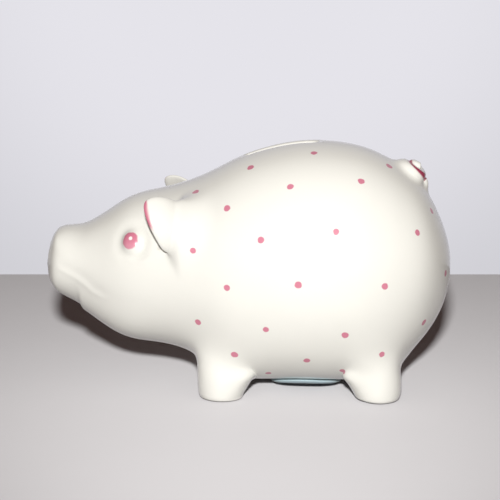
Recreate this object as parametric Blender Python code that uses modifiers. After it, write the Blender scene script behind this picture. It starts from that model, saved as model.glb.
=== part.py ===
"""Slip-cast ceramic piggy bank: hollow body on four legs, luted ears and tail, belly stopper.

Frame: metres, +Z up, origin on the floor below the middle of the bounding box. The snout points
to -X, the tail to +X, and the pig's left flank faces -Y.
"""

import math

import bmesh
import bpy
from mathutils import Vector

MM = 0.001

# Wall and fits
WALL = 4.0 * MM
FIT_GAP = 0.3 * MM

# Subdivision of the cages
OUTER_LEVELS = 2
INNER_LEVELS = 1
EAR_LEVELS = 2

# Body sections from snout to rump, in millimetres: x, top z, bottom z, half width
BODY_SECTIONS = (
    (-84.8, 72.0, 40.8, 15.4),
    (-76.0, 71.4, 36.4, 17.2),
    (-64.5, 75.2, 28.8, 22.0),
    (-51.5, 86.0, 21.4, 28.5),
    (-35.5, 89.0, 18.4, 32.2),
    (-21.0, 94.0, 14.5, 37.0),
    (-10.0, 99.8, 8.0, 41.5),
    (1.0, 105.2, 4.6, 44.5),
    (23.0, 111.2, 3.2, 47.6),
    (45.5, 109.0, 3.8, 46.0),
    (56.5, 105.4, 5.8, 43.0),
    (67.5, 99.8, 11.5, 38.0),
    (78.0, 90.4, 22.0, 30.5),
    (86.2, 73.0, 35.5, 17.0),
)
SNOUT_TIP_X = -89.6
RUMP_TIP_X = 89.5
TIP_GRID_SCALE = 0.5
RING_POINTS = 12

# Legs: the index of the section on each pair's axis, and how far the axes stand from the middle
LEG_PAIRS = ((6, 23.0), (10, 21.5))
LEG_RADIUS = 10.5
# Upper ring: share of the height from the ankle to the belly, radius factor
LEG_FLARE = ((0.5, 1.04),)
# Lower rings: height, radius factor
LEG_ANKLE_Z = 2.4
LEG_FOOT = ((LEG_ANKLE_Z, 0.99), (0.0, 0.90), (0.0, 0.52))

# Coin slot, cut through the back along the spine
SLOT_X = 15.0 * MM
SLOT_LENGTH = 31.0 * MM
SLOT_WIDTH = 5.0 * MM
SLOT_TOP_Z = 120.0 * MM
SLOT_FLOOR_Z = 92.0 * MM

# Belly hole and its stopper
HOLE_X = 26.5 * MM
HOLE_RADIUS = 13.0 * MM
PLUG_RADIUS = HOLE_RADIUS - FIT_GAP
PLUG_TOP_Z = 13.0 * MM
FLANGE_RADIUS = 16.2 * MM
FLANGE_THICKNESS = 1.6 * MM
GRIP_RADIUS = 9.0 * MM
GRIP_ROOF_Z = 10.0 * MM
GRIP_BAR_WIDTH = 4.0 * MM

# Ear blade, in millimetres: rows from the root to the free edge, each from the bottom to the top
EAR_ROWS = (
    ((-26.0, 26.0, 63.5), (-20.4, 27.0, 68.5), (-18.0, 25.0, 75.0), (-19.0, 19.0, 79.0)),
    ((-30.0, 31.5, 65.0), (-26.2, 33.8, 70.5), (-25.0, 31.8, 77.0), (-26.0, 24.5, 82.5)),
    ((-32.4, 34.2, 66.4), (-32.4, 36.8, 72.4), (-32.8, 35.4, 80.5), (-34.0, 28.8, 88.4)),
    ((-34.0, 34.6, 68.4), (-38.0, 36.0, 75.0), (-41.2, 34.0, 82.0), (-43.2, 30.0, 89.8)),
)
EAR_THICKNESS = 3.0 * MM

# Tail: one outer turn of a round strand with the coiled tip rising inside it
TAIL_CENTRE = Vector((72.2, 0.0, 97.0)) * MM
TAIL_TILT = math.radians(39.0)
TAIL_TURNS = 0.8
TAIL_TURN_RADIUS = 4.9 * MM
TAIL_STRAND_RADIUS = 2.4 * MM
TAIL_STEPS = 18
TAIL_ROOT = Vector((77.2, 0.0, 86.4)) * MM
TAIL_KNOB_RADII = (4.3 * MM, 4.3 * MM, 3.3 * MM)
TAIL_KNOB_LEVEL = 1.8 * MM

GLAZE = ((0.955, 0.950, 0.915, 1.0), 0.08)
PAINTED_GLAZE = ((0.93, 0.90, 0.87, 1.0), 0.10)
SOFT_PLASTIC = ((0.62, 0.70, 0.72, 1.0), 0.38)


def clear_scene():
    """Remove every object left in the file."""
    for obj in list(bpy.data.objects):
        bpy.data.objects.remove(obj, do_unlink=True)


def make_collection(name):
    """Return a new collection linked under the scene."""
    collection = bpy.data.collections.new(name)
    bpy.context.scene.collection.children.link(collection)
    return collection


def make_material(name, look):
    """Return a Principled material with a base colour and a roughness."""
    colour, roughness = look
    material = bpy.data.materials.new(name)
    material.use_nodes = True
    shader = material.node_tree.nodes["Principled BSDF"]
    shader.inputs["Base Color"].default_value = colour
    shader.inputs["Roughness"].default_value = roughness
    shader.inputs["Metallic"].default_value = 0.0
    return material


def object_from_bmesh(bm, name, collection):
    """Turn a bmesh into a named object with outward faces."""
    bmesh.ops.recalc_face_normals(bm, faces=bm.faces)
    mesh = bpy.data.meshes.new(name)
    bm.to_mesh(mesh)
    bm.free()
    obj = bpy.data.objects.new(name, mesh)
    collection.objects.link(obj)
    return obj


def mark_as_cutter(obj):
    """Keep a construction solid out of the model."""
    obj.hide_render = True
    obj.display_type = "WIRE"


def bake_modifiers(obj):
    """Replace the object's mesh with its evaluated mesh."""
    depsgraph = bpy.context.evaluated_depsgraph_get()
    baked = bpy.data.meshes.new_from_object(obj.evaluated_get(depsgraph))
    baked.name = obj.name
    obj.modifiers.clear()
    obj.data = baked


def add_subdivision(obj, levels):
    """Round a coarse cage."""
    modifier = obj.modifiers.new("Rounding", "SUBSURF")
    modifier.levels = levels
    modifier.render_levels = levels


def add_boolean(obj, other, operation):
    """Cut, join or keep the common part with another solid."""
    modifier = obj.modifiers.new(operation.title(), "BOOLEAN")
    modifier.operation = operation
    modifier.solver = "EXACT"
    modifier.object = other


def ring_shrink(points):
    """Return how far a closed cubic cage ring of that many points shrinks when rounded."""
    return (2.0 + math.cos(2.0 * math.pi / points)) / 3.0


def section_ring(bm, section, grow):
    """Add one body section as a ring of cage vertices, counted up from the belly on -Y."""
    x, top, bottom, half_width = section
    middle = (top + bottom) / 2.0
    shrink = ring_shrink(RING_POINTS)
    radius_z = ((top - bottom) / 2.0 + grow) / shrink
    radius_y = (half_width + grow) / shrink
    ring = []
    for step in range(RING_POINTS):
        angle = 2.0 * math.pi * (step + 0.5) / RING_POINTS
        y = -radius_y * math.sin(angle)
        z = middle - radius_z * math.cos(angle)
        ring.append(bm.verts.new((x * MM, y * MM, z * MM)))
    return ring


def close_with_grid(bm, ring, tip_x):
    """Close a ring of twelve with a three by three grid of quads."""
    centre = sum((v.co for v in ring), Vector()) / len(ring)
    inner = {}
    for corner in (1, 4, 7, 10):
        place = centre.lerp(ring[corner].co, TIP_GRID_SCALE)
        place.x = tip_x * MM
        inner[corner] = bm.verts.new(place)
    for corner in (1, 4, 7, 10):
        after = (corner + 3) % RING_POINTS
        before_ring = ring[corner - 1]
        after_ring = ring[(corner + 1) % RING_POINTS]
        bm.faces.new((before_ring, ring[corner], after_ring, inner[corner]))
        next_ring = ring[(corner + 2) % RING_POINTS]
        bm.faces.new((after_ring, next_ring, inner[after], inner[corner]))
    bm.faces.new([inner[corner] for corner in (1, 4, 7, 10)])


def leg_ring(bm, axis, side, z, radius):
    """Add a six-sided ring of one leg, in the order of its patch border."""
    shrunk = radius / ring_shrink(6)
    ring = []
    for degrees in (210.0, 270.0, 330.0, 30.0, 90.0, 150.0):
        angle = math.radians(degrees)
        x = axis[0] + shrunk * math.cos(angle)
        y = side * (axis[1] + shrunk * math.sin(angle))
        ring.append(bm.verts.new((x * MM, y * MM, z * MM)))
    return ring


def add_leg(bm, border, axis, side, grow):
    """Run a leg down from a hole in the belly cage and close its foot flat."""
    belly_heights = [v.co.z / MM for v in border]
    heights = [(share, factor, True) for share, factor in LEG_FLARE]
    heights += [(z, factor, False) for z, factor in LEG_FOOT]
    above = border
    for value, factor, flares in heights:
        ring = leg_ring(bm, axis, side, value, LEG_RADIUS * factor + grow)
        for vertex, belly_z in zip(ring, belly_heights):
            if flares:
                vertex.co.z = (LEG_ANKLE_Z + value * (belly_z - LEG_ANKLE_Z)) * MM
            vertex.co.z -= grow * MM
        for step in range(6):
            following = (step + 1) % 6
            bm.faces.new((above[step], above[following], ring[following], ring[step]))
        above = ring
    bm.faces.new((above[0], above[1], above[4], above[5]))
    bm.faces.new((above[1], above[2], above[3], above[4]))


def pig_cage(name, collection, grow=0.0):
    """Build the pig's one-piece cage, its surface moved out by grow millimetres."""
    bm = bmesh.new()
    length = BODY_SECTIONS[-1][0] - BODY_SECTIONS[0][0]
    stretch = 1.0 + 2.0 * grow / length
    leg_sections = [leg for leg, _ in LEG_PAIRS]
    rings = []
    for index, (x, top, bottom, half_width) in enumerate(BODY_SECTIONS):
        on_leg = any(abs(index - leg) <= 1 for leg in leg_sections)
        moved_x = x if on_leg else x * stretch
        rings.append(section_ring(bm, (moved_x, top, bottom, half_width), grow))
    for index, (ring, next_ring) in enumerate(zip(rings, rings[1:])):
        over_leg = any(index in (leg - 1, leg) for leg in leg_sections)
        for step in range(RING_POINTS):
            following = (step + 1) % RING_POINTS
            if over_leg and step in (0, RING_POINTS - 2):
                continue
            bm.faces.new((ring[step], ring[following], next_ring[following], next_ring[step]))
    for leg, axis_y in LEG_PAIRS:
        axis = (BODY_SECTIONS[leg][0], axis_y)
        before, on_axis, after = rings[leg - 1 : leg + 2]
        for low, high, side in ((0, 1, -1.0), (RING_POINTS - 1, RING_POINTS - 2, 1.0)):
            lower_edge = (before[low], on_axis[low], after[low])
            upper_edge = (after[high], on_axis[high], before[high])
            add_leg(bm, lower_edge + upper_edge, axis, side, grow)
    close_with_grid(bm, rings[0], SNOUT_TIP_X - grow)
    close_with_grid(bm, rings[-1], RUMP_TIP_X + grow)
    return object_from_bmesh(bm, name, collection)


def pig_solid(name, collection, grow, levels):
    """Return the rounded pig as a baked construction solid."""
    solid = pig_cage(name, collection, grow)
    add_subdivision(solid, levels)
    bake_modifiers(solid)
    mark_as_cutter(solid)
    return solid


def cylinder(name, collection, radius, bottom, top, x, segments):
    """Return an upright capped cylinder."""
    bm = bmesh.new()
    bmesh.ops.create_cone(
        bm,
        cap_ends=True,
        segments=segments,
        radius1=radius,
        radius2=radius,
        depth=top - bottom,
    )
    bmesh.ops.translate(bm, verts=bm.verts, vec=(x, 0.0, (top + bottom) / 2.0))
    return object_from_bmesh(bm, name, collection)


def block(name, collection, size, centre):
    """Return a box of a real size."""
    bm = bmesh.new()
    bmesh.ops.create_cube(bm, size=1.0)
    bmesh.ops.scale(bm, verts=bm.verts, vec=size)
    bmesh.ops.translate(bm, verts=bm.verts, vec=centre)
    return object_from_bmesh(bm, name, collection)


def slot_cutter(collection):
    """Return the upright blade that cuts the round-ended coin slot."""
    size = (SLOT_LENGTH, SLOT_WIDTH, SLOT_TOP_Z - SLOT_FLOOR_Z)
    centre = (SLOT_X, 0.0, (SLOT_TOP_Z + SLOT_FLOOR_Z) / 2.0)
    blade = block("slot_cutter", collection, size, centre)
    weights = blade.data.attributes.new("bevel_weight_edge", "FLOAT", "EDGE")
    for edge in blade.data.edges:
        start, end = (blade.data.vertices[i].co for i in edge.vertices)
        upright = abs(start.z - end.z) > SLOT_WIDTH
        weights.data[edge.index].value = 1.0 if upright else 0.0
    bevel = blade.modifiers.new("Round ends", "BEVEL")
    bevel.limit_method = "WEIGHT"
    bevel.width = SLOT_WIDTH * 0.48
    bevel.segments = 4
    mark_as_cutter(blade)
    return blade


def build_body(parts, cutters, material):
    """Hollow the pig, open its back and its belly."""
    body = pig_cage("body_shell", parts)
    add_subdivision(body, OUTER_LEVELS)
    cavity = pig_solid("cavity_form", cutters, -WALL / MM, INNER_LEVELS)
    add_boolean(body, cavity, "DIFFERENCE")
    add_boolean(body, slot_cutter(cutters), "DIFFERENCE")
    hole = cylinder("hole_cutter", cutters, HOLE_RADIUS, -10.0 * MM, 30.0 * MM, HOLE_X, 40)
    mark_as_cutter(hole)
    add_boolean(body, hole, "DIFFERENCE")
    body.data.materials.append(material)
    body.data.shade_smooth()
    return body


def build_ear(name, side, parts, seat, material):
    """Build one cupped ear blade, its root seated on the head."""
    bm = bmesh.new()
    rows = []
    for row in EAR_ROWS:
        rows.append([bm.verts.new((x * MM, side * y * MM, z * MM)) for x, y, z in row])
    for lower, upper in zip(rows, rows[1:]):
        for step in range(len(lower) - 1):
            bm.faces.new((lower[step], lower[step + 1], upper[step + 1], upper[step]))
    ear = object_from_bmesh(bm, name, parts)
    thickness = ear.modifiers.new("Clay", "SOLIDIFY")
    thickness.thickness = EAR_THICKNESS
    thickness.offset = 0.0
    add_subdivision(ear, EAR_LEVELS)
    bake_modifiers(ear)
    add_boolean(ear, seat, "DIFFERENCE")
    ear.data.materials.append(material)
    ear.data.shade_smooth()
    return ear


def tail_directions():
    """Return the curl's outward, down-slope and sideways directions."""
    outward = Vector((math.sin(TAIL_TILT), 0.0, math.cos(TAIL_TILT)))
    down_slope = Vector((math.cos(TAIL_TILT), 0.0, -math.sin(TAIL_TILT)))
    return outward, down_slope, outward.cross(down_slope)


def tail_path():
    """Return the outer turn's centre line, from its root in the rump."""
    _, down_slope, across = tail_directions()
    points = [TAIL_ROOT]
    for step in range(TAIL_STEPS + 1):
        angle = -2.0 * math.pi * TAIL_TURNS * step / TAIL_STEPS
        spoke = down_slope * math.cos(angle) + across * math.sin(angle)
        points.append(TAIL_CENTRE + spoke * TAIL_TURN_RADIUS)
    return points


def mesh_from_strand(curve, name, collection):
    """Turn a bevelled curve into a closed mesh object."""
    strand = bpy.data.objects.new(name, curve)
    collection.objects.link(strand)
    depsgraph = bpy.context.evaluated_depsgraph_get()
    mesh = bpy.data.meshes.new_from_object(strand.evaluated_get(depsgraph))
    bpy.data.objects.remove(strand, do_unlink=True)
    bm = bmesh.new()
    bm.from_mesh(mesh)
    bpy.data.meshes.remove(mesh)
    bmesh.ops.remove_doubles(bm, verts=bm.verts, dist=0.00001)
    return object_from_bmesh(bm, name, collection)


def tail_knob(collection):
    """Return the rounded tip that fills the middle of the curl."""
    outward, down_slope, across = tail_directions()
    bm = bmesh.new()
    bmesh.ops.create_uvsphere(bm, u_segments=16, v_segments=9, radius=1.0)
    for vertex in bm.verts:
        spread = down_slope * vertex.co.x * TAIL_KNOB_RADII[0]
        spread = spread + across * vertex.co.y * TAIL_KNOB_RADII[1]
        lift = outward * (vertex.co.z * TAIL_KNOB_RADII[2] + TAIL_KNOB_LEVEL)
        vertex.co = TAIL_CENTRE + spread + lift
    knob = object_from_bmesh(bm, "tail_knob_form", collection)
    mark_as_cutter(knob)
    return knob


def build_tail(parts, cutters, seat, material):
    """Build the curled tail, its underside seated on the rump."""
    curve = bpy.data.curves.new("tail_strand", "CURVE")
    curve.dimensions = "3D"
    curve.bevel_depth = TAIL_STRAND_RADIUS
    curve.bevel_resolution = 2
    curve.use_fill_caps = True
    path = tail_path()
    spline = curve.splines.new("POLY")
    spline.points.add(len(path) - 1)
    for point, place in zip(spline.points, path):
        point.co = (place.x, place.y, place.z, 1.0)
    tail = mesh_from_strand(curve, "tail", parts)
    add_boolean(tail, tail_knob(cutters), "UNION")
    add_boolean(tail, seat, "DIFFERENCE")
    tail.data.materials.append(material)
    tail.data.shade_smooth()
    return tail


def build_stopper(parts, cutters, seat, material):
    """Build the flanged belly stopper with a finger grip, on its pull axis."""
    skin = pig_solid("flange_skin", cutters, (FIT_GAP + FLANGE_THICKNESS) / MM, OUTER_LEVELS)
    flange = cylinder("belly_stopper", parts, FLANGE_RADIUS, -5.0 * MM, 20.0 * MM, HOLE_X, 40)
    add_boolean(flange, skin, "INTERSECT")
    add_boolean(flange, seat, "DIFFERENCE")
    plug = cylinder("plug_form", cutters, PLUG_RADIUS, 3.2 * MM, PLUG_TOP_Z, HOLE_X, 40)
    mark_as_cutter(plug)
    add_boolean(flange, plug, "UNION")
    grip = cylinder("grip_cutter", cutters, GRIP_RADIUS, -10.0 * MM, GRIP_ROOF_Z, HOLE_X, 28)
    bar_size = (GRIP_BAR_WIDTH, 4.0 * GRIP_RADIUS, 60.0 * MM)
    bar = block("grip_bar_form", cutters, bar_size, (HOLE_X, 0.0, 0.0))
    mark_as_cutter(bar)
    add_boolean(grip, bar, "DIFFERENCE")
    mark_as_cutter(grip)
    add_boolean(flange, grip, "DIFFERENCE")
    flange.data.materials.append(material)
    axis = bpy.data.objects.new("stopper_axis", None)
    axis.location = (HOLE_X, 0.0, 0.0)
    parts.objects.link(axis)
    bpy.context.view_layer.update()
    flange.parent = axis
    flange.matrix_parent_inverse = axis.matrix_world.inverted()
    return flange


def main():
    """Build every piece of the bank."""
    clear_scene()
    parts = make_collection("piggy_bank")
    cutters = make_collection("cutters")
    glaze = make_material("white_glaze", GLAZE)
    painted = make_material("painted_glaze", PAINTED_GLAZE)
    plastic = make_material("soft_plastic", SOFT_PLASTIC)
    seat = pig_solid("seat_form", cutters, FIT_GAP / MM, OUTER_LEVELS)
    build_body(parts, cutters, glaze)
    build_ear("ear_left", -1.0, parts, seat, painted)
    build_ear("ear_right", 1.0, parts, seat, painted)
    build_tail(parts, cutters, seat, painted)
    build_stopper(parts, cutters, seat, plastic)


main()
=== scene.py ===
"""A glazed ceramic piggy bank on a pale table top.

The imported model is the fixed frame. Round it stand one glazed skin (the hollow casting with the
luted ears and tail, all under one coat of glaze and painted with small spots) and the soft belly
stopper. Sizes are in metres; a value whose name ends in _mm is in millimetres.
"""

import logging
import math
from dataclasses import dataclass, field
from enum import Enum

import bmesh
import bpy
import numpy as np
from bpy.types import Material, Mesh, Node, NodeSocket, NodeTree, Object
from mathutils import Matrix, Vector
from mathutils.bvhtree import BVHTree


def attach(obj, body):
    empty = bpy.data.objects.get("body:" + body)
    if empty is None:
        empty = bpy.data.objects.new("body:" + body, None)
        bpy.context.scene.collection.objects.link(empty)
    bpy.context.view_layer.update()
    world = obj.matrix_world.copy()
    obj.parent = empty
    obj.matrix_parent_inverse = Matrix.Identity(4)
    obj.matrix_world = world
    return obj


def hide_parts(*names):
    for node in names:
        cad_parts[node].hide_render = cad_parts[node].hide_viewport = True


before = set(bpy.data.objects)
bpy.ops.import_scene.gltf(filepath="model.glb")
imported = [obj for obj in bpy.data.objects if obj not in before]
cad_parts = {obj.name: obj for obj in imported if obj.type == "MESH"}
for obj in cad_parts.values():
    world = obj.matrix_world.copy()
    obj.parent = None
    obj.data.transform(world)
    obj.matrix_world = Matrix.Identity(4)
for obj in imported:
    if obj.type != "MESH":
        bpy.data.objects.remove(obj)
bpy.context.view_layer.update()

MM = 0.001
LOG = logging.getLogger("piggy_bank")

Array = np.ndarray
BMesh = bmesh.types.BMesh
Colour = tuple[float, float, float, float]


class Side(Enum):
    """The pig's own left and right flank, as the sign of Y."""

    LEFT = -1.0
    RIGHT = 1.0


class Joining(Enum):
    """How two clay forms meet: luted together, or one cut out of the other."""

    LUTED = 1.0
    CUT = -1.0


def rgb(red: float, green: float, blue: float) -> Colour:
    """Return an opaque linear colour."""
    return (red, green, blue, 1.0)


# --- mesh helpers


def object_from_bmesh(bm: BMesh, name: str, closed: bool = True) -> Object:
    """Turn a bmesh into a linked object.

    Args:
        bm: the mesh under construction; it is freed.
        name: the name of the object and its mesh.
        closed: whether it is a solid, which gets outward, smooth faces.

    Returns:
        The new object, at the origin.
    """
    if closed:
        bmesh.ops.recalc_face_normals(bm, faces=bm.faces)
    mesh = bpy.data.meshes.new(name)
    bm.to_mesh(mesh)
    bm.free()
    if closed:
        mesh.shade_smooth()
    made = bpy.data.objects.new(name, mesh)
    bpy.context.scene.collection.objects.link(made)
    return made


def settle(made: Object) -> Object:
    """Replace an object's mesh with its evaluated one, drop its modifiers and return it."""
    depsgraph = bpy.context.evaluated_depsgraph_get()
    plain = bpy.data.meshes.new_from_object(
        made.evaluated_get(depsgraph), preserve_all_data_layers=True, depsgraph=depsgraph
    )
    plain.name = made.name
    made.modifiers.clear()
    made.data = plain
    return made


def round_off(made: Object, levels: int) -> Object:
    """Round a cage with Subdivision Surface and return it."""
    modifier = made.modifiers.new("Rounding", "SUBSURF")
    modifier.levels = modifier.render_levels = levels
    return settle(made)


def combine(made: Object, other: Object, operation: str) -> None:
    """Join or cut a solid with another one, and put the other away.

    Args:
        made: the solid that is changed.
        other: the solid it is combined with; it is deleted.
        operation: UNION or DIFFERENCE.
    """
    modifier = made.modifiers.new("Combine", "BOOLEAN")
    modifier.operation = operation
    modifier.solver = "EXACT"
    modifier.object = other
    settle(made)
    bpy.data.objects.remove(other, do_unlink=True)


def read_rows(items: object, name: str, width: int = 3, kind: type = float) -> Array:
    """Return one property of all of a mesh's items as an array of rows."""
    flat = np.empty(len(items) * width, dtype=kind)
    items.foreach_get(name, flat)
    return flat.reshape(-1, width)


def read_points(mesh: Mesh) -> Array:
    """Return a mesh's vertex places."""
    return read_rows(mesh.vertices, "co")


def read_edges(mesh: Mesh) -> Array:
    """Return a mesh's edges as pairs of vertex numbers."""
    return read_rows(mesh.edges, "vertices", 2, np.int64)


def write_points(mesh: Mesh, points: Array) -> None:
    """Give a mesh new vertex places."""
    mesh.vertices.foreach_set("co", np.ascontiguousarray(points).ravel())
    mesh.update()


def write_value(mesh: Mesh, name: str, values: Array) -> None:
    """Store one number per vertex under an attribute name."""
    layer = mesh.attributes.new(name, "FLOAT", "POINT")
    layer.data.foreach_set("value", np.ascontiguousarray(values, dtype=np.float32))


def smooth_step(value: Array, low: float, high: float) -> Array:
    """Return 0 below low, 1 above high and a smooth rise between."""
    share = np.clip((value - low) / (high - low), 0.0, 1.0)
    return share * share * (3.0 - 2.0 * share)


def bell(value: Array, width: float) -> Array:
    """Return a bell curve of the given half width."""
    return np.exp(-((value / width) ** 2))


def bridge(bm: BMesh, lower: list, upper: list) -> None:
    """Join two rings of points with a band of quads."""
    for step in range(len(lower)):
        after = (step + 1) % len(lower)
        bm.faces.new((lower[step], lower[after], upper[after], upper[step]))


@dataclass
class Form:
    """A closed clay form that tells how far points lie outside it."""

    tree: BVHTree

    @classmethod
    def of(cls, made: Object) -> "Form":
        """Read the form from an object's own mesh."""
        mesh = made.data
        corners = [v.co for v in mesh.vertices]
        faces = [tuple(p.vertices) for p in mesh.polygons]
        return cls(BVHTree.FromPolygons(corners, faces))

    def measure(self, points: Array) -> tuple[Array, Array]:
        """Measure signed distances to the form.

        Args:
            points: N by 3 places.

        Returns:
            The distance of each point, negative inside, and the unit direction away from the form.
        """
        distances = np.empty(len(points))
        away = np.empty((len(points), 3))
        for index, point in enumerate(points):
            place = Vector(point)
            nearest, normal, _, distance = self.tree.find_nearest(place)
            offset = place - nearest
            signed = distance if offset.dot(normal) >= 0.0 else -distance
            distances[index] = signed
            away[index] = offset / signed if distance > 0.05 * MM else normal
        return distances, away


@dataclass(frozen=True)
class UprightBore:
    """An upright round-ended bore: a slot, or a round hole when its half length is nothing."""

    centre_x: float
    half_length: float
    radius: float
    bottom: float
    top: float

    def measure(self, points: Array) -> tuple[Array, Array]:
        """Measure signed distances to the bore, as Form.measure does."""
        along = points[:, 0] - self.centre_x
        beyond = along - np.clip(along, -self.half_length, self.half_length)
        across = points[:, 1]
        reach = np.hypot(beyond, across)
        safe = np.maximum(reach, 1e-9)
        away = np.stack((beyond / safe, across / safe, np.zeros(len(points))), axis=1)
        beyond_ends = np.maximum(self.bottom - points[:, 2], points[:, 2] - self.top)
        return np.maximum(reach - self.radius, beyond_ends), away

    def cutter(self, spacing: float) -> Object:
        """Build the bore as a solid with points at about that spacing."""
        outline = []
        arc_steps = max(8, round(math.pi * self.radius / spacing))
        line_steps = round(2.0 * self.half_length / spacing)
        for end in (1.0, -1.0):
            for step in range(arc_steps):
                angle = math.pi * step / arc_steps - math.pi / 2.0
                x = self.centre_x + end * (self.half_length + self.radius * math.cos(angle))
                outline.append((x, end * self.radius * math.sin(angle)))
            for step in range(line_steps):
                x = self.centre_x + end * self.half_length * (1.0 - 2.0 * step / line_steps)
                outline.append((x, end * self.radius))
        bm = bmesh.new()
        rows = []
        for row in range(round((self.top - self.bottom) / spacing) + 1):
            height = self.bottom + row * spacing
            rows.append([bm.verts.new((x, y, height)) for x, y in outline])
        for lower, upper in zip(rows, rows[1:]):
            bridge(bm, lower, upper)
        bm.faces.new(rows[0][::-1])
        bm.faces.new(rows[-1])
        return object_from_bmesh(bm, "cutter")


def neighbour_means(edges: Array, points: Array) -> Array:
    """Return the mean place of each point's neighbours."""
    total = np.zeros_like(points)
    counts = np.zeros(len(points))
    for near, far in (edges.T, edges.T[::-1]):
        counts += np.bincount(near, minlength=len(points))
        for axis in range(3):
            weights = points[far, axis]
            total[:, axis] += np.bincount(near, weights=weights, minlength=len(points))
    return total / np.maximum(counts, 1.0)[:, None]


@dataclass
class Seam:
    """A seam between two forms that glaze and a wet sponge have rounded over.

    Its radius may grow to soft_radius between soft_from_x and soft_to_x, towards the rump.
    """

    first: Form
    second: Form | UprightBore
    joining: Joining
    radius: float
    soft_radius: float = 0.0
    soft_from_x: float = 0.0
    soft_to_x: float = 1.0 * MM

    def _blend(self, points: Array) -> tuple[Array, Array, Array]:
        """Measure the rounded surface: its distance, its direction and how active the seam is."""
        near, near_away = self.first.measure(points)
        far, far_away = self.second.measure(points)
        if self.joining is Joining.CUT:
            near, near_away = -near, -near_away
        softness = smooth_step(points[:, 0], self.soft_from_x, self.soft_to_x)
        reach = self.radius + softness * max(0.0, self.soft_radius - self.radius)
        share = np.clip(0.5 + 0.5 * (far - near) / reach, 0.0, 1.0)
        height = far * (1.0 - share) + near * share - reach * share * (1.0 - share)
        away = near_away * share[:, None] + far_away * (1.0 - share)[:, None]
        away /= np.maximum(np.linalg.norm(away, axis=1), 1e-6)[:, None]
        if self.joining is Joining.CUT:
            height, away = -height, -away
        return height, away, 4.0 * share * (1.0 - share)

    def sponge(self, points: Array, edges: Array, passes: int) -> Array:
        """Round the seam over.

        Args:
            points: all the skin's points.
            edges: the skin's edges as pairs of point numbers.
            passes: how many times the points are evened out and put back on the rounded surface.

        Returns:
            The points in their new places.
        """
        widest = 1.2 * max(self.radius, self.soft_radius)
        near, _ = self.second.measure(points)
        reachable = np.flatnonzero(np.abs(near) < widest)
        depth, _ = self.first.measure(points[reachable])
        chosen = reachable[np.abs(depth) < widest]
        moved = points.copy()
        for step in range(passes):
            height, away, active = self._blend(moved[chosen])
            pull = np.where(active > 0.0, height, 0.0)
            moved[chosen] -= away * np.clip(pull, -0.6 * MM, 0.6 * MM)[:, None]
            if step < passes - 2:
                mean = neighbour_means(edges, moved)
                share = 0.5 * smooth_step(active, 0.0, 0.35)
                moved[chosen] += (mean[chosen] - moved[chosen]) * share[:, None]
        return moved


# --- node helpers


class Bench:
    """Adds and joins the nodes of one tree."""

    def __init__(self, tree: NodeTree) -> None:
        """Work on a tree."""
        self.tree = tree

    def feed(self, node: Node, sockets: dict) -> None:
        """Set a node's inputs, by name or number, to values or to other nodes' outputs."""
        for key, value in sockets.items():
            if isinstance(value, NodeSocket):
                self.tree.links.new(value, node.inputs[key])
            else:
                node.inputs[key].default_value = value

    def add(self, kind: str, sockets: dict | None = None, **settings: object) -> Node:
        """Add one node.

        Args:
            kind: the node's type name.
            sockets: values or output sockets for its inputs, by name or number.
            settings: the node's own properties.

        Returns:
            The node.
        """
        node = self.tree.nodes.new(kind)
        for key, value in settings.items():
            setattr(node, key, value)
        self.feed(node, sockets or {})
        return node

    def first(self, kind: str, sockets: dict | None = None, **settings: object) -> NodeSocket:
        """Add one node and return its first output."""
        return self.add(kind, sockets, **settings).outputs[0]

    def math(self, operation: str, *values: object) -> NodeSocket:
        """Add a Math node over up to three values and return its result."""
        return self.first("ShaderNodeMath", dict(enumerate(values)), operation=operation)

    def vector(self, operation: str, *values: object) -> NodeSocket:
        """Add a Vector Math node and return its vector, or its value for a length or product."""
        node = self.add("ShaderNodeVectorMath", dict(enumerate(values)), operation=operation)
        single = operation in ("LENGTH", "DISTANCE", "DOT_PRODUCT")
        return node.outputs["Value" if single else "Vector"]

    def scaled(self, vector: object, factor: object) -> NodeSocket:
        """Return a vector made longer or shorter by a factor."""
        sockets = {"Vector": vector, "Scale": factor}
        return self.add("ShaderNodeVectorMath", sockets, operation="SCALE").outputs["Vector"]

    def xyz(self, x: object = 0.0, y: object = 0.0, z: object = 0.0) -> NodeSocket:
        """Return a vector made of three numbers."""
        return self.first("ShaderNodeCombineXYZ", {"X": x, "Y": y, "Z": z})

    def split(self, vector: NodeSocket) -> object:
        """Return a vector's three numbers, named X, Y and Z."""
        return self.add("ShaderNodeSeparateXYZ", {0: vector}).outputs

    def fade(self, value: object, start: object, end: object) -> NodeSocket:
        """Return 1 where value is below start and 0 above end, smoothly."""
        sockets = {"Value": value, "From Min": start, "From Max": end, "To Min": 1.0, "To Max": 0.0}
        return self.first("ShaderNodeMapRange", sockets, interpolation_type="SMOOTHSTEP")

    def ramp(self, value: object, low: object, high: object) -> NodeSocket:
        """Return low where value is 0 and high where it is 1."""
        return self.first("ShaderNodeMapRange", {"Value": value, "To Min": low, "To Max": high})

    def mix(self, share: object, first: object, second: object) -> NodeSocket:
        """Return a colour between two colours."""
        sockets = {0: share, 6: first, 7: second}
        return self.add("ShaderNodeMix", sockets, data_type="RGBA").outputs[2]

    def noise(self, place: NodeSocket, scale: object, detail: float, rough: float = 0.5) -> Node:
        """Add a Noise Texture."""
        sockets = {"Vector": place, "Scale": scale, "Detail": detail, "Roughness": rough}
        return self.add("ShaderNodeTexNoise", sockets)

    def attribute(self, name: str, output: str = "Fac") -> NodeSocket:
        """Read one attribute of the skin."""
        return self.add("ShaderNodeAttribute", attribute_name=name).outputs[output]


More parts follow.
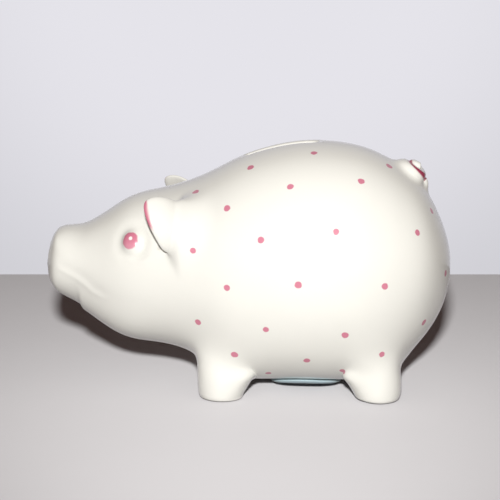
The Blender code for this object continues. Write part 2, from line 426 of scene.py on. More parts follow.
def new_group(name: str, kind: str, inputs: dict, outputs: dict) -> tuple[NodeTree, Bench, object]:
    """Start a node group.

    Args:
        name: the group's name.
        kind: the type of its tree.
        inputs: the names of its inputs, by socket type.
        outputs: the names of its outputs, by socket type.

    Returns:
        The tree, a bench for it and the group's inputs inside it.
    """
    tree = bpy.data.node_groups.new(name, kind)
    for way, sockets in (("OUTPUT", outputs), ("INPUT", inputs)):
        for socket_type, names in sockets.items():
            for label in names:
                socket_kind = f"NodeSocket{socket_type}"
                tree.interface.new_socket(label, in_out=way, socket_type=socket_kind)
    bench = Bench(tree)
    return tree, bench, bench.add("NodeGroupInput").outputs


def unevenness_group() -> NodeTree:
    """Build the soft unevenness that glaze, plastic and lacquer share.

    Returns:
        A shader group: Grain sets how many waves fit in a metre. Tone runs from 0 to 1, and
        Relief is a height between about -1 and 1.
    """
    sockets = {"Float": ("Grain",)}, {"Float": ("Tone", "Relief")}
    tree, bench, given = new_group("soft_unevenness", "ShaderNodeTree", *sockets)
    place = bench.add("ShaderNodeTexCoord").outputs["Object"]
    broad = bench.noise(place, given["Grain"], 3.0, 0.45).outputs["Fac"]
    fine = bench.noise(place, bench.math("MULTIPLY", given["Grain"], 9.0), 1.0).outputs["Fac"]
    tone = bench.math("MULTIPLY_ADD", fine, 0.18, bench.math("MULTIPLY", broad, 0.82))
    relief = bench.math("MULTIPLY_ADD", tone, 2.0, -1.0)
    bench.add("NodeGroupOutput", {"Tone": tone, "Relief": relief})
    return tree


def brush_patch_group() -> NodeTree:
    """Build an oval patch of paint with a soft hand-brushed edge.

    Returns:
        A shader group: Place and Centre are points, Radii the oval's half sizes, Edge the softness
        as a share of the radius. Mask is 1 inside the patch.
    """
    sockets = {"Vector": ("Place", "Centre", "Radii"), "Float": ("Edge",)}, {"Float": ("Mask",)}
    tree, bench, given = new_group("brush_patch", "ShaderNodeTree", *sockets)
    offset = bench.vector("SUBTRACT", given["Place"], given["Centre"])
    reach = bench.vector("LENGTH", bench.vector("DIVIDE", offset, given["Radii"]))
    start, end = (bench.math(way, 1.0, given["Edge"]) for way in ("SUBTRACT", "ADD"))
    bench.add("NodeGroupOutput", {"Mask": bench.fade(reach, start, end)})
    return tree


@dataclass
class Workshop:
    """The node groups that several finishes share."""

    unevenness: NodeTree = field(default_factory=unevenness_group)
    brush_patch: NodeTree = field(default_factory=brush_patch_group)

    def uneven(self, bench: Bench, grain: float) -> object:
        """Place the unevenness group in a material and return its outputs."""
        return bench.add("ShaderNodeGroup", {"Grain": grain}, node_tree=self.unevenness).outputs

    def bump(self, bench: Bench, grain: float, depth_mm: float, strength: float) -> NodeSocket:
        """Return the normal of a surface with that unevenness."""
        relief = self.uneven(bench, grain)["Relief"]
        sockets = {"Height": relief, "Distance": depth_mm * MM, "Strength": strength}
        return bench.add("ShaderNodeBump", sockets).outputs["Normal"]


def start_material(name: str) -> tuple[Material, Bench, Node]:
    """Start a material and return it with its bench and its Principled shader."""
    material = bpy.data.materials.new(name)
    material.use_nodes = True
    shader = material.node_tree.nodes["Principled BSDF"]
    return material, Bench(material.node_tree), shader


# --- finishes


@dataclass(frozen=True)
class PaintedGlaze:
    """Clear gloss glaze over creamy white clay with pink brushwork under it."""

    clay: Colour = rgb(0.905, 0.895, 0.845)
    clay_shade: Colour = rgb(0.875, 0.872, 0.815)
    pooled_glaze_and_shade: Colour = rgb(0.70, 0.72, 0.65)
    biscuit: Colour = rgb(0.72, 0.62, 0.47)
    pink: Colour = rgb(0.66, 0.205, 0.295)
    pale_pink: Colour = rgb(0.74, 0.31, 0.40)
    deep_pink: Colour = rgb(0.40, 0.055, 0.11)
    # painted shadow: near-black colour laid into the ear hollows behind each front edge
    painted_hollow_shadow: Colour = rgb(0.045, 0.018, 0.014)
    eye_centre_mm: tuple[float, float, float] = (-48.0, 25.3, 69.2)
    eye_radii_mm: tuple[float, float, float] = (3.55, 3.8, 3.85)
    glint_centre_mm: tuple[float, float, float] = (-47.8, 25.5, 70.2)
    glint_radius_mm: float = 1.2
    nostril_centre_mm: tuple[float, float, float] = (-89.0, 5.2, 59.5)
    nostril_radii_mm: tuple[float, float, float] = (3.0, 1.9, 2.7)
    spot_radius_mm: float = 1.42
    brush_wander_mm: float = 0.7
    spot_gate_mm: float = 4.0
    spot_edge_mm: float = 0.22
    patch_edge: float = 0.09
    paint_share: float = 0.75
    # lid_mm sets where the iris turns from paler pink below to deeper pink above, partly painted
    # shade
    lid_mm: tuple[float, float] = (-2.6, 4.6)
    painted_glint: Colour = rgb(0.95, 0.88, 0.86)
    foot_mm: tuple[float, float] = (0.25, 0.7)

    def _patch(self, bench: Bench, shop: Workshop, place: NodeSocket, *oval: tuple) -> NodeSocket:
        """Paint one oval patch, its centre and radii in millimetres, and return its mask."""
        centre, radii = (Vector(measures) * MM for measures in oval)
        sockets = {"Place": place, "Centre": centre, "Radii": radii, "Edge": self.patch_edge}
        return bench.first("ShaderNodeGroup", sockets, node_tree=shop.brush_patch)

    def _spots(self, bench: Bench, place: NodeSocket) -> NodeSocket:
        """Paint the small round spots and return their mask."""
        reach = bench.vector("DISTANCE", place, bench.attribute("spot_centre", "Vector"))
        radius = bench.math("MULTIPLY", bench.attribute("spot_size"), self.spot_radius_mm * MM)
        edge = self.spot_edge_mm * MM
        inner, outer = (bench.math(way, radius, edge) for way in ("SUBTRACT", "ADD"))
        gate = bench.math("LESS_THAN", bench.attribute("spot_reach"), self.spot_gate_mm * MM)
        return bench.math("MULTIPLY", bench.fade(reach, inner, outer), gate)

    def build(self, shop: Workshop) -> Material:
        """Build the material.

        Args:
            shop: the shared node groups.

        Returns:
            The material, which reads the skin's paint attributes and Object coordinates.
        """
        material, bench, shader = start_material("painted_glaze_skin")
        place = bench.add("ShaderNodeTexCoord").outputs["Object"]
        wander = bench.noise(place, 420.0, 1.0).outputs["Color"]
        drift = bench.vector("SUBTRACT", wander, (0.5, 0.5, 0.5))
        brushed = bench.vector("ADD", place, bench.scaled(drift, self.brush_wander_mm * MM))
        parts = bench.split(brushed)
        folded = bench.xyz(parts["X"], bench.math("ABSOLUTE", parts["Y"]), parts["Z"])

        colour = bench.mix(shop.uneven(bench, 38.0)["Tone"], self.clay, self.clay_shade)
        # hollows are painted darker and greener: partly the pooled glaze's own tint, partly painted
        # shade
        pool_and_shade = bench.math("MULTIPLY", bench.attribute("pool_and_shade"), self.paint_share)
        colour = bench.mix(pool_and_shade, colour, self.pooled_glaze_and_shade)

        iris = self._patch(bench, shop, folded, self.eye_centre_mm, self.eye_radii_mm)
        # painted highlight: a pinkish-white glint spot painted into each iris
        glint_radii = (self.glint_radius_mm,) * 3
        painted_glint = self._patch(bench, shop, folded, self.glint_centre_mm, glint_radii)
        # painted shade and light: the iris is deeper pink at its top and paler below, partly its
        # own brushwork
        iris_shade_from, rim = self.lid_mm
        rise = bench.math("SUBTRACT", parts["Z"], (self.eye_centre_mm[2] + iris_shade_from) * MM)
        iris_pink_and_shade = bench.mix(bench.fade(rise, 0.0, rim * MM), self.pink, self.pale_pink)
        colour = bench.mix(iris, colour, iris_pink_and_shade)
        colour = bench.mix(bench.math("MULTIPLY", painted_glint, iris), colour, self.painted_glint)

        nostril = self._patch(bench, shop, folded, self.nostril_centre_mm, self.nostril_radii_mm)
        colour = bench.mix(bench.math("MULTIPLY", nostril, self.paint_share), colour, self.pink)
        # ear_shade paints shadow near black into the ear hollows; ear_paint and tail_paint are pink
        # brushwork
        paints = {"ear_shade": self.painted_hollow_shadow, "ear_paint": self.pink, "tail_paint": self.deep_pink}
        for name, paint in paints.items():
            colour = bench.mix(bench.attribute(name), colour, paint)

        brush = bench.noise(place, 900.0, 2.0).outputs["Fac"]
        spot_pink = bench.mix(bench.math("MULTIPLY", brush, 0.5), self.pink, self.pale_pink)
        colour = bench.mix(self._spots(bench, brushed), colour, spot_pink)

        low, high = self.foot_mm
        foot = bench.fade(bench.split(place)["Z"], low * MM, high * MM)
        bare = bench.math("MAXIMUM", foot, bench.attribute("inside"))
        sockets = {
            "Base Color": bench.mix(bare, colour, self.biscuit),
            "Roughness": bench.ramp(bare, 0.30, 0.85),
            "Coat Weight": bench.math("SUBTRACT", 1.0, bare),
            "Normal": shop.bump(bench, 85.0, 0.05, 0.8),
            "Coat Roughness": 0.02,
            "Coat IOR": 1.5,
            "Specular IOR Level": 0.35,
        }
        bench.feed(shader, sockets)
        return material


@dataclass(frozen=True)
class SoftPlastic:
    """Cloudy bluish-white soft plastic with a satin moulded face."""

    body: Colour = rgb(0.40, 0.53, 0.58)
    cloud: Colour = rgb(0.52, 0.64, 0.68)

    def build(self, shop: Workshop) -> Material:
        """Build the material from the shared node groups and return it."""
        material, bench, shader = start_material("cloudy_soft_plastic")
        tone = shop.uneven(bench, 120.0)["Tone"]
        sockets = {
            "Base Color": bench.mix(tone, self.body, self.cloud),
            "Roughness": bench.ramp(tone, 0.32, 0.5),
            "Normal": shop.bump(bench, 700.0, 0.03, 0.6),
            "Subsurface Weight": 0.25,
            "Subsurface Radius": (1.0, 1.2, 1.4),
            "Subsurface Scale": 1.5 * MM,
        }
        bench.feed(shader, sockets)
        return material


@dataclass(frozen=True)
class TableLacquer:
    """Plain pale lacquer of the table top."""

    pale: Colour = rgb(0.565, 0.555, 0.57)
    worn: Colour = rgb(0.535, 0.525, 0.54)

    def build(self, shop: Workshop) -> Material:
        """Build the material from the shared node groups and return it."""
        material, bench, shader = start_material("pale_table_lacquer")
        tone = shop.uneven(bench, 6.0)["Tone"]
        sockets = {
            "Base Color": bench.mix(tone, self.pale, self.worn),
            "Roughness": bench.ramp(tone, 0.55, 0.70),
            "Diffuse Roughness": 1.0,
            "Specular IOR Level": 0.06,
        }
        bench.feed(shader, sockets)
        return material


# --- the pig's forms


@dataclass
class PigCage:
    """The slip-cast casting's cage: trunk, head, snout and four legs."""

    sections_mm: tuple = (
        (-84.8, 72.0, 40.8, 15.4),
        (-76.0, 71.4, 36.4, 17.2),
        (-64.5, 75.2, 28.8, 22.0),
        (-51.5, 86.0, 21.4, 28.5),
        (-35.5, 89.0, 18.4, 32.2),
        (-21.0, 94.0, 14.5, 37.0),
        (-10.0, 99.8, 8.0, 41.5),
        (1.0, 105.2, 4.6, 44.5),
        (23.0, 111.2, 3.2, 47.6),
        (45.5, 109.0, 3.8, 46.0),
        (56.5, 105.4, 5.8, 43.0),
        (67.5, 99.8, 11.5, 38.0),
        (78.0, 90.4, 22.0, 30.5),
        (86.2, 73.0, 35.5, 17.0),
    )
    snout_x_mm: float = -89.6
    rump_x_mm: float = 89.5
    tip_share: float = 0.5
    ring_points: int = 12
    leg_sections: tuple = ((6, 23.0), (10, 21.5))
    leg_radius_mm: float = 10.5
    knee_share: float = 0.5
    knee_factor: float = 1.04
    ankle_mm: float = 2.4
    foot_rings: tuple = ((2.4, 0.99), (0.0, 0.90), (0.0, 0.52))

    @staticmethod
    def _shrink(points: int) -> float:
        """Return how far a closed cage ring of that many points shrinks when rounded."""
        return (2.0 + math.cos(2.0 * math.pi / points)) / 3.0

    def _ring(self, bm: BMesh, section: tuple, grow: float) -> list:
        """Add one trunk section, counted up from the belly on the left flank."""
        x, top, bottom, half_width = section
        shrink = self._shrink(self.ring_points)
        tall, wide = ((size + grow) / shrink for size in ((top - bottom) / 2.0, half_width))
        ring = []
        for step in range(self.ring_points):
            angle = 2.0 * math.pi * (step + 0.5) / self.ring_points
            y = -wide * math.sin(angle)
            z = (top + bottom) / 2.0 - tall * math.cos(angle)
            ring.append(bm.verts.new((x * MM, y * MM, z * MM)))
        return ring

    def _close(self, bm: BMesh, ring: list, tip_x: float) -> None:
        """Close an end ring with a grid of quads."""
        centre = sum((v.co for v in ring), Vector()) / len(ring)
        inner = {}
        for corner in (1, 4, 7, 10):
            place = centre.lerp(ring[corner].co, self.tip_share)
            place.x = tip_x * MM
            inner[corner] = bm.verts.new(place)
        for corner in (1, 4, 7, 10):
            after = (corner + 3) % self.ring_points
            next_point = ring[(corner + 1) % self.ring_points]
            last_point = ring[(corner + 2) % self.ring_points]
            bm.faces.new((ring[corner - 1], ring[corner], next_point, inner[corner]))
            bm.faces.new((next_point, last_point, inner[after], inner[corner]))
        bm.faces.new([inner[corner] for corner in (1, 4, 7, 10)])

    def _leg(self, bm: BMesh, border: list, axis: tuple, side: Side, grow: float) -> None:
        """Run one leg down from its opening in the belly."""
        belly = [v.co.z / MM for v in border]
        rows = [(self.knee_share, self.knee_factor, True)]
        rows += [(height, factor, False) for height, factor in self.foot_rings]
        above = border
        for value, factor, is_knee in rows:
            radius = (self.leg_radius_mm * factor + grow) / self._shrink(6)
            ring = []
            for degrees, belly_z in zip((210, 270, 330, 30, 90, 150), belly):
                angle = math.radians(degrees)
                z = self.ankle_mm + value * (belly_z - self.ankle_mm) if is_knee else value
                x = axis[0] + radius * math.cos(angle)
                y = side.value * (axis[1] + radius * math.sin(angle))
                ring.append(bm.verts.new((x * MM, y * MM, (z - grow) * MM)))
            bridge(bm, above, ring)
            above = ring
        bm.faces.new((above[0], above[1], above[4], above[5]))
        bm.faces.new((above[1], above[2], above[3], above[4]))

    def build(self, name: str, grow: float, levels: int) -> Object:
        """Build the rounded casting.

        Args:
            name: the object's name.
            grow: how far its surface is moved out, in millimetres.
            levels: how finely the cage is divided.

        Returns:
            A closed solid.
        """
        bm = bmesh.new()
        length = self.sections_mm[-1][0] - self.sections_mm[0][0]
        stretch = 1.0 + 2.0 * grow / length
        legs = [section for section, _ in self.leg_sections]
        rings = []
        for index, (x, top, bottom, half_width) in enumerate(self.sections_mm):
            on_leg = any(abs(index - leg) <= 1 for leg in legs)
            placed = x if on_leg else x * stretch
            rings.append(self._ring(bm, (placed, top, bottom, half_width), grow))
        last = self.ring_points - 1
        for index, (ring, following) in enumerate(zip(rings, rings[1:])):
            over_leg = any(index in (leg - 1, leg) for leg in legs)
            for step in range(self.ring_points):
                if over_leg and step in (0, last - 1):
                    continue
                after = (step + 1) % self.ring_points
                bm.faces.new((ring[step], ring[after], following[after], following[step]))
        for section, axis_y in self.leg_sections:
            axis = (self.sections_mm[section][0], axis_y)
            before, middle, behind = rings[section - 1 : section + 2]
            for low, high, side in ((0, 1, Side.LEFT), (last, last - 1, Side.RIGHT)):
                lower = [before[low], middle[low], behind[low]]
                upper = [behind[high], middle[high], before[high]]
                self._leg(bm, lower + upper, axis, side, grow)
        self._close(bm, rings[0], self.snout_x_mm - grow)
        self._close(bm, rings[-1], self.rump_x_mm + grow)
        return round_off(object_from_bmesh(bm, name), levels)


@dataclass
class FaceModelling:
    """The soft modelling of the head in the mould: eyes, lids, mouth, chin and nostrils."""

    eye_mm: tuple = (-47.9, 25.3, 69.0)
    eye_height_mm: float = 1.25
    eye_reach_mm: float = 5.4
    lid_mm: tuple = ((-51.0, 62.4), (-47.0, 61.5), (-42.5, 62.3), (-38.5, 64.0))
    mouth_mm: tuple = (
        (-84.0, 56.5),
        (-78.6, 54.0),
        (-74.0, 52.0),
        (-70.0, 49.6),
        (-66.0, 46.2),
        (-61.5, 44.4),
        (-56.0, 44.2),
    )
    chin_x_mm: float = -73.2
    chin_drop_mm: float = 1.2
    bridge_x_mm: float = -73.0
    bridge_dip_mm: float = 0.55
    brow_x_mm: float = -60.0
    brow_lift_mm: float = 0.8
    back_x_mm: float = 50.0
    back_lift_mm: float = 0.5
    jowl_x_mm: float = -53.0
    jowl_drop_mm: float = 1.8
    belly_level_mm: float = 0.6
    nostril_mm: tuple = (5.2, 59.5)
    nostril_depth_mm: float = 1.3
    leg_axes: tuple = ((-10.0, 1.0, 0.3), (56.5, -1.0, 1.7))
    leg_spread_mm: float = 5.4
    smoothing_passes: int = 10
    waver_mm: float = 0.16

    @staticmethod
    def _line(points: Array, line: tuple) -> tuple[Array, Array]:
        """Return how far points lie above a side-view line, and how far along it, from 0 to 1."""
        best = np.full(len(points), np.inf)
        above = np.zeros(len(points))
        along = np.zeros(len(points))
        flat = points[:, (0, 2)]
        for index, (start, end) in enumerate(zip(line, line[1:])):
            start, step = np.array(start), np.array(end) - np.array(start)
            share = np.clip((flat - start) @ step / (step @ step), 0.0, 1.0)
            offset = flat - start - share[:, None] * step
            reach = np.hypot(offset[:, 0], offset[:, 1])
            sign = np.sign(offset[:, 1] * step[0] - offset[:, 0] * step[1])
            nearer = reach < best
            best = np.where(nearer, reach, best)
            above = np.where(nearer, reach * sign, above)
            along = np.where(nearer, (index + share) / (len(line) - 1), along)
        return above, along

    def _eyes(self, points: Array) -> Array:
        """Return the lift of the eyeballs and the dip round them."""
        offset = points - np.array(self.eye_mm)
        offset[:, 1] = np.abs(points[:, 1]) - self.eye_mm[1]
        reach = np.sqrt(offset[:, 0] ** 2 + (offset[:, 1] * 0.8) ** 2 + (offset[:, 2] * 0.88) ** 2)
        ball = self.eye_height_mm * (1.0 - smooth_step(reach, 2.4, self.eye_reach_mm))
        ball -= 0.035 * np.minimum(reach, 3.4) ** 2
        socket = bell(reach - 6.6, 1.9) * (0.28 + 0.30 * smooth_step(offset[:, 0], -1.0, 6.0))
        return ball - socket

    def lift(self, points: Array, normals: Array) -> Array:
        """Work out how far each point of the skin is raised.

        Args:
            points: N by 3 places in millimetres.
            normals: the surface normals there.

        Returns:
            The lift along the normal, in millimetres.
        """
        x, y, z = points.T
        side = smooth_step(np.abs(y), 9.0, 14.0)
        raised = self._eyes(points)
        above, along = self._line(points, self.lid_mm)
        ends = np.sin(np.pi * np.clip(along, 0.0, 1.0)) ** 0.7
        raised += side * ends * (0.34 * bell(above + 0.5, 0.8) - 0.26 * bell(above - 0.9, 1.0))
        above, along = self._line(points, self.mouth_mm)
        ends = smooth_step(along, 0.0, 0.12) * (1.0 - smooth_step(along, 0.72, 1.0))
        crease = 0.22 * bell(above + 0.9, 1.3) - 0.22 * bell(above - 1.5, 2.6)
        raised += side * ends * crease
        upward = smooth_step(normals[:, 2], 0.35, 0.9)
        raised -= self.bridge_dip_mm * upward * bell(x - self.bridge_x_mm, 6.0)
        raised += self.brow_lift_mm * upward * bell(x - self.brow_x_mm, 17.0)
        raised += self.back_lift_mm * upward * bell(x - self.back_x_mm, 26.0)
        behind = smooth_step(normals[:, 0], 0.25, 0.85) * smooth_step(x, 66.0, 82.0)
        raised += self.back_lift_mm * behind * smooth_step(z, 40.0, 60.0)
        forward = smooth_step(-normals[:, 0], 0.15, 0.75) * smooth_step(-x, 74.0, 82.0)
        raised += forward * (1.0 * bell(z - 47.0, 8.0) - 0.3 * bell(z - 62.0, 4.0) + 0.2)
        under = smooth_step(-normals[:, 2], 0.25, 0.8)
        jaw = smooth_step(x, self.chin_x_mm - 1.3, self.chin_x_mm + 1.3)
        jaw = jaw * (1.0 - smooth_step(x, self.chin_x_mm + 6.0, self.chin_x_mm + 24.0))
        raised += under * jaw * self.chin_drop_mm
        raised += under * self.jowl_drop_mm * bell(x - self.jowl_x_mm, 11.0)
        raised += under * self.belly_level_mm * (bell(x - 5.0, 10.0) - bell(x - 46.0, 9.0))
        dip = np.hypot(np.abs(y) - self.nostril_mm[0], (z - self.nostril_mm[1]) * 0.75)
        front = smooth_step(-x, 84.0, 87.0)
        raised -= front * self.nostril_depth_mm * (1.0 - smooth_step(dip, 0.5, 2.6))
        raised += front * 0.25 * bell(dip - 3.3, 1.0)
        return raised

    def spread_legs(self, points: Array, normals: Array) -> None:
        """Move the skin where the legs run into the belly, widening their facing sides."""
        x, y, z = (points / MM).T
        tall = np.clip((z - 1.0) / 10.5, 0.0, 1.0) ** 1.5 * (1.0 - smooth_step(z, 10.0, 20.0))
        flank = smooth_step(np.abs(y), 6.0, 14.0)
        low = 1.0 - smooth_step(z, 6.0, 26.0)
        for axis_x, towards, shift in self.leg_axes:
            near = 1.0 - smooth_step(np.abs(x - axis_x - towards * 9.0), 6.0, 15.0)
            facing = smooth_step(normals[:, 0] * towards, -0.05, 0.6)
            moved = towards * self.leg_spread_mm * tall * flank * near * facing
            whole = low * (1.0 - smooth_step(np.abs(x - axis_x), 14.0, 22.0))
            points[:, 0] += (moved + shift * whole) * MM

    def sculpt(self, made: Object) -> None:
        """Model the face, the legs and the hand's slight unevenness into a skin."""
        mesh = made.data
        points = read_points(mesh)
        normals = read_rows(mesh.vertex_normals, "vector")
        self.spread_legs(points, normals)
        edges = read_edges(mesh)
        for _ in range(self.smoothing_passes):
            height = points[:, 2] / MM
            share = 0.5 * smooth_step(height, 4.0, 8.0) * (1.0 - smooth_step(height, 16.0, 22.0))
            share *= smooth_step(np.abs(points[:, 1]) / MM, 4.0, 9.0)
            points += (neighbour_means(edges, points) - points) * share[:, None]
        x, y, z = (points / MM).T
        waver = np.sin(x / 17.0 + 0.7) * np.sin(y / 21.0 + 1.9) * np.sin(z / 14.0 + 0.4)
        waver += 0.6 * np.sin(x / 9.0 + z / 12.0) * np.sin(y / 11.0 - z / 16.0 + 2.2)
        standing = smooth_step(z, 3.0, 12.0)
        raised = self.lift(points / MM, normals) + self.waver_mm * waver * standing
        write_points(mesh, points + normals * raised[:, None] * MM)


@dataclass
class Ear:
    """One cupped ear blade, its root buried in the head."""

    side: Side
    rows_mm: tuple = (
        ((-26.0, 26.0, 63.5), (-20.4, 27.0, 68.5), (-18.0, 25.0, 75.5), (-19.5, 19.0, 81.5)),
        ((-30.0, 31.5, 65.0), (-26.2, 33.8, 70.5), (-25.0, 31.8, 78.5), (-26.5, 24.5, 86.0)),
        ((-32.4, 34.2, 66.4), (-32.0, 36.8, 72.4), (-32.4, 35.4, 81.5), (-34.0, 28.8, 90.6)),
        ((-33.6, 35.2, 68.2), (-37.2, 37.6, 75.0), (-40.6, 36.6, 82.0), (-42.6, 31.6, 88.8)),
    )
    thickness_mm: float = 2.6
    shade_mm: tuple = (2.1, 2.9)
    levels: int = 4

    def _sheet(self, name: str) -> Object:
        """Build the blade's middle sheet."""
        bm = bmesh.new()
        rows = []
        for row in self.rows_mm:
            places = [Vector((x, self.side.value * y, z)) * MM for x, y, z in row]
            rows.append([bm.verts.new(place) for place in places])
        for lower, upper in zip(rows, rows[1:]):
            for step in range(len(lower) - 1):
                corners = (lower[step], lower[step + 1], upper[step + 1], upper[step])
                bm.faces.new(corners if self.side is Side.LEFT else corners[::-1])
        return object_from_bmesh(bm, name, closed=False)

    def build(self) -> Object:
        """Build the closed blade and return it."""
        made = self._sheet(f"ear_form_{self.side.name.lower()}")
        clay = made.modifiers.new("Clay", "SOLIDIFY")
        clay.thickness = self.thickness_mm * MM
        clay.offset = 0.0
        round_off(made, self.levels)
        made.data.shade_smooth()
        return made

    def paint(self, points: Array) -> Array:
        """Work out where the ear is painted pink inside.

        Args:
            points: all the skin's points.

        Returns:
            1 in the hollow and along the front rim near the tip, 0 elsewhere.
        """
        sheet = round_off(self._sheet("ear_middle"), self.levels)
        tree = Form.of(sheet).tree
        bpy.data.objects.remove(sheet, do_unlink=True)
        depth = np.full(len(points), np.inf)
        reach = (self.thickness_mm * 0.9) * MM
        outward = Vector((0.25, self.side.value, 0.25))
        for index, point in enumerate(points):
            place = Vector(point)
            nearest, normal, _, _ = tree.find_nearest(place, reach)
            if nearest is not None:
                way = -1.0 if normal.dot(outward) < 0.0 else 1.0
                depth[index] = (place - nearest).dot(normal) * way / MM
        x, _, z = points.T / MM
        painted = smooth_step(z, 75.5, 79.0)
        painted *= smooth_step(-x - 35.6 - 0.33 * (z - 75.0), -0.5, 0.6)
        painted *= 1.0 - smooth_step(depth, 0.7, 1.2)
        return painted * (1.0 - smooth_step(-depth, -0.1, 0.4))

    def shade(self, points: Array, form: Form) -> Array:
        """Work out where shadow is painted, near black, in the hollow behind the front edge.

        Args:
            points: all the skin's points.
            form: the ear's closed blade.

        Returns:
            1 where shadow is painted, in the hollow between the front edge and the head, 0
            elsewhere.
        """
        edge = np.array(self.rows_mm[-1])
        x, y, z = points.T / MM
        edge_x = np.interp(z, edge[:, 2], edge[:, 0])
        ahead = edge_x - x
        band = smooth_step(ahead, -2.0, -1.0) * (1.0 - smooth_step(ahead, *self.shade_mm))
        tall = smooth_step(z, 66.0, 69.0) * (1.0 - smooth_step(z, 82.0, 85.5))
        own = (y * self.side.value > 8.0).astype(float)
        chosen = np.flatnonzero(band * tall * own > 0.0)
        shaded = np.zeros(len(points))
        apart, _ = form.measure(points[chosen])
        off = smooth_step(apart / MM, 0.15, 0.5) * (1.0 - smooth_step(apart / MM, 4.0, 6.0))
        shaded[chosen] = (band * tall)[chosen] * off
        return shaded


@dataclass
class CurledTail:
    """The tail: a strand wound into a flat curl, its tip rising in the middle."""

    centre_mm: tuple = (71.3, 0.0, 96.0)
    tilt: float = math.radians(39.0)
    turns: float = 1.8
    outer_mm: float = 5.9
    inner_mm: float = 1.2
    rise_mm: float = 4.7
    strand_mm: float = 2.25
    tip_strand_mm: float = 1.9
    voxel_mm: float = 0.3
    core_mm: tuple = (-2.5, 1.0)
    core_radius_mm: float = 3.9
    line_mm: float = 0.62
    line_share: float = 0.46
    line_soft_mm: float = 0.45

    def _tree(self) -> NodeTree:
        """Build the Geometry Nodes tree that winds the strand."""
        floats = ("Turns", "Outer Radius", "Inner Radius", "Rise", "Strand Radius", "Tip Radius")
        vectors = ("Centre", "Core Foot", "Core Head")
        inputs = {"Float": floats + ("Tilt", "Core Radius"), "Vector": vectors}
        outputs = {"Geometry": ("Geometry",)}
        tree, bench, given = new_group("wound_strand", "GeometryNodeTree", inputs, outputs)
        sockets = {
            "Resolution": 48,
            "Rotations": given["Turns"],
            "Start Radius": given["Outer Radius"],
            "End Radius": given["Inner Radius"],
            "Height": given["Rise"],
        }
        spiral = bench.first("GeometryNodeCurveSpiral", sockets)
        sockets = {"Geometry": spiral, "Scale": (1.0, -1.0, 1.0)}
        mirrored = bench.first("GeometryNodeTransform", sockets)
        turn = bench.xyz(y=given["Tilt"])
        sockets = {"Geometry": mirrored, "Rotation": turn, "Translation": given["Centre"]}
        placed = bench.first("GeometryNodeTransform", sockets)
        share = bench.add("GeometryNodeSplineParameter").outputs["Factor"]
        taper = bench.ramp(share, given["Strand Radius"], given["Tip Radius"])
        sockets = {"Start": given["Core Foot"], "End": given["Core Head"]}
        line = bench.first("GeometryNodeCurvePrimitiveLine", sockets)
        both = bench.add("GeometryNodeJoinGeometry")
        for curve, radius in ((placed, taper), (line, given["Core Radius"])):
            sockets = {"Curve": curve, "Radius": radius}
            bench.feed(both, {0: bench.first("GeometryNodeSetCurveRadius", sockets)})
        profile = bench.first("GeometryNodeCurvePrimitiveCircle", {"Resolution": 24, "Radius": 1.0})
        sockets = {"Curve": both.outputs[0], "Fill Caps": True, "Profile Curve": profile}
        node = bench.add("GeometryNodeCurveToMesh", sockets)
        if "Scale" in node.inputs:
            bench.feed(node, {"Scale": bench.first("GeometryNodeInputRadius")})
        real = bench.first("GeometryNodeRealizeInstances", {0: node.outputs[0]})
        dressed = bench.first("GeometryNodeSetMaterial", {"Geometry": real})
        bench.add("NodeGroupOutput", {0: dressed})
        return tree

    def build(self) -> Object:
        """Wind the strand, melt its turns together and return the closed form."""
        made = object_from_bmesh(bmesh.new(), "tail_form")
        centre = Vector(self.centre_mm)
        outward = Vector((math.sin(self.tilt), 0.0, math.cos(self.tilt)))
        foot, head = ((centre + outward * height) * MM for height in self.core_mm)
        values = {
            "Turns": self.turns,
            "Outer Radius": self.outer_mm * MM,
            "Inner Radius": self.inner_mm * MM,
            "Rise": self.rise_mm * MM,
            "Strand Radius": self.strand_mm * MM,
            "Tip Radius": self.tip_strand_mm * MM,
            "Centre": centre * MM,
            "Core Foot": foot,
            "Core Head": head,
            "Core Radius": self.core_radius_mm * MM,
            "Tilt": self.tilt,
        }
        run_tree(made, "Strand", self._tree(), values)
        melt = made.modifiers.new("Melt", "REMESH")
        melt.mode = "VOXEL"
        melt.voxel_size = self.voxel_mm * MM
        melt.use_smooth_shade = True
        settle(made)
        edges, points = read_edges(made.data), read_points(made.data)
        for _ in range(6):
            points += 0.5 * (neighbour_means(edges, points) - points)
        write_points(made.data, points)
        return made

    def paint(self, points: Array) -> Array:
        """Return 1 along the painted groove between the turns and 0 elsewhere."""
        sine, cosine = math.sin(self.tilt), math.cos(self.tilt)
        local = points - np.array(self.centre_mm) * MM
        near = np.flatnonzero(np.linalg.norm(local, axis=1) < 12.0 * MM)
        local = local[near] / MM
        flat = np.column_stack((local @ (cosine, 0.0, -sine), -local[:, 1]))
        above = smooth_step(local @ (sine, 0.0, cosine), 0.3, 0.9)
        narrowing, climb = self.inner_mm - self.outer_mm, self.rise_mm / self.turns
        strand = 0.5 * (self.strand_mm + self.tip_strand_mm)
        best = np.full(len(near), np.inf)
        for share in np.linspace(0.0, self.line_share, 90):
            angle = 2.0 * math.pi * self.turns * share
            inner_share = min(share + 1.0 / self.turns, 1.0)
            apart = math.hypot(narrowing * (inner_share - share), climb)
            out = math.sqrt(max(strand**2 - 0.25 * apart**2, 0.0))
            radius = self.outer_mm + 0.5 * narrowing * (share + inner_share)
            radius += out * climb / apart + self.line_soft_mm
            place = np.array((math.cos(angle), math.sin(angle))) * radius
            best = np.minimum(best, np.linalg.norm(flat - place, axis=1))
        painted = np.zeros(len(points))
        fade = smooth_step(best, self.line_mm, self.line_mm + self.line_soft_mm)
        painted[near] = above * (1.0 - fade)
        return painted


